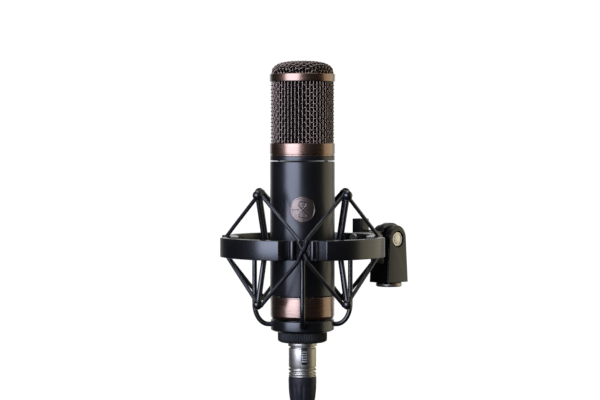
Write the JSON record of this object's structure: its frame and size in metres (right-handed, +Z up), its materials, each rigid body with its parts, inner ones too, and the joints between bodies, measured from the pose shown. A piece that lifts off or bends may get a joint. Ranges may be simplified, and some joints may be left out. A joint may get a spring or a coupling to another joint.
{
  "type": "ribbon microphone",
  "caption": "Side-address ribbon microphone with a woven grille, hung by elastic cord in a ring-shaped shock mount with a tilting stand swivel, with its connector and lead.",
  "frame": {"origin": "middle of the underside of the stand thread adapter, where a stand's top thread holds the part", "axes": "+Z up along the microphone and the stand; the address side faces -Y; the arm runs from the shock mount to the swivel along (+X, +Y)"},
  "size_m": [0.1489, 0.1621, 0.4224],
  "materials": {
    "woven_bronze": "antique bronze wire, woven",
    "fine_screen": "fine blackened mesh",
    "brushed_copper": "turned, brushed antique copper",
    "badge_copper": "etched antique copper",
    "satin_body": "satin black enamel",
    "mount_black": "satin black powder coat",
    "wire_black": "semi-gloss black",
    "knurled_black": "satin black, knurled",
    "swivel_black": "textured satin black",
    "elastic_cord": "braided elastic cord",
    "nickel": "satin nickel plate",
    "steel_part": "machined",
    "magnet_metal": "plated magnet",
    "ribbon_foil": "bright corrugated foil",
    "clamp_brass": "machined",
    "enamelled_wire": "enamelled copper winding",
    "insulator_black": "moulded",
    "contact_metal": "plated contact",
    "boot_rubber": "moulded rubber",
    "cable_jacket": "satin cable jacket",
    "tie_strap": "hook-and-loop strap",
    "washer_plastic": "friction washer"
  },
  "bodies": {
    "yoke": {"yoke": "swivel_black", "thread_adapter": "nickel", "pivot_bolt": "nickel", "friction_washer": "washer_plastic"},
    "lever": {"lock_lever": "swivel_black"},
    "mount": {"outer_ring": "mount_black", "mount_arm": "mount_black", "arm_screw_lower": "steel_part", "arm_screw_upper": "steel_part", "elastic_loop_1": "elastic_cord", "elastic_loop_2": "elastic_cord"},
    "nut": {"clamp_nut": "knurled_black"},
    "latch": {"latch_button": "nickel"},
    "plug": {"plug_shell": "nickel", "plug_insert": "insulator_black", "plug_boot": "boot_rubber", "lead_cable": "cable_jacket", "lead_coil": "cable_jacket", "lead_tail": "cable_jacket", "cable_tie": "tie_strap", "far_plug_boot": "boot_rubber", "far_plug_shell": "nickel", "far_plug_insert": "insulator_black"},
    "microphone": {"grille_dome": "woven_bronze", "grille_top_band": "brushed_copper", "grille_cylinder": "woven_bronze", "inner_screen": "fine_screen", "grille_base_band": "brushed_copper", "head_collar": "satin_body", "head_plate": "steel_part", "motor_frame": "steel_part", "magnet_left": "magnet_metal", "magnet_right": "magnet_metal", "pole_piece_left": "steel_part", "pole_piece_right": "steel_part", "ribbon": "ribbon_foil", "ribbon_clamp_bottom": "clamp_brass", "ribbon_clamp_top": "clamp_brass", "body_tube": "satin_body", "badge": "badge_copper", "base_sleeve": "brushed_copper", "base_plate": "steel_part", "xlr_inlet_insert": "insulator_black", "xlr_pin_1": "contact_metal", "xlr_pin_2": "contact_metal", "xlr_pin_3": "contact_metal", "chassis_rail_left": "steel_part", "chassis_rail_right": "steel_part", "transformer_core": "steel_part", "transformer_winding": "enamelled_wire", "cradle_collar": "mount_black", "cradle_hoop": "wire_black", "cradle_arm_right": "wire_black", "cradle_arm_back": "wire_black", "cradle_arm_left": "wire_black", "cradle_arm_front": "wire_black", "cradle_post_back_right": "wire_black", "cradle_post_back_left": "wire_black", "cradle_post_front_left": "wire_black", "cradle_post_front_right": "wire_black"}
  },
  "joints": [
    {"name": "tilt", "type": "hinge", "parent": "yoke", "child": "mount", "pos_m": [0, 0, 0.0386], "axis": [0.7071, -0.7071, 0], "range_deg": [-90, 30]},
    {"name": "lock_lever_turn", "type": "hinge", "parent": "yoke", "child": "lever", "pos_m": [0, 0, 0.0386], "axis": [0.7071, -0.7071, 0], "range_deg": [-90, 90]},
    {"name": "bounce", "type": "slide", "parent": "mount", "child": "microphone", "axis": [0, 0, 1], "range_m": [-0.006, 0.006], "stiffness_N_per_m": 2300, "springref_m": 0.00563, "deforming": ["elastic_loop_1", "elastic_loop_2"]},
    {"name": "nut_turn", "type": "hinge", "parent": "microphone", "child": "nut", "pos_m": [-0.07, -0.07, -0.033], "axis": [0, 0, 1], "continuous": true},
    {"name": "plug_pull", "type": "slide", "parent": "microphone", "child": "plug", "axis": [0, 0, -1], "range_m": [0, 0.02]},
    {"name": "latch_press", "type": "slide", "parent": "plug", "child": "latch", "axis": [-0.1478, 0.989, 0], "range_m": [0, 0.0009], "stiffness_N_per_m": 1500, "springref_m": -0.001}
  ]
}
